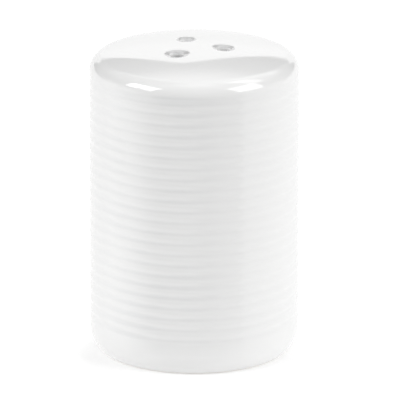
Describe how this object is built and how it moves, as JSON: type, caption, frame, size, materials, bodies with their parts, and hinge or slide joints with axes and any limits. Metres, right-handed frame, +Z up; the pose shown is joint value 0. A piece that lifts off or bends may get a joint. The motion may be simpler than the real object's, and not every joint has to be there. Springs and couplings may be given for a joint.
{
  "type": "salt shaker",
  "caption": "Hollow cylindrical porcelain salt shaker with fine horizontal ribs, a domed top with flared pouring holes and a soft push-in stopper in its recessed base.",
  "frame": {"origin": "on the shaker's axis, at the plane of the foot ring that it stands on", "axes": "+Z up along the axis, towards the pouring holes; -Y towards the viewer of the picture"},
  "size_m": [0.05, 0.05, 0.0747],
  "materials": {
    "glazed_porcelain": "white clear-glazed porcelain, glossy, with an unglazed foot ring",
    "soft_stopper": "soft translucent white moulded plastic, satin"
  },
  "bodies": {
    "shaker": {"porcelain_body": "glazed_porcelain"},
    "stopper": {"base_stopper": "soft_stopper"}
  },
  "joints": [
    {"name": "stopper_pull", "type": "slide", "parent": "shaker", "child": "stopper", "axis": [0, 0, -1], "range_m": [0, 0.04]}
  ]
}
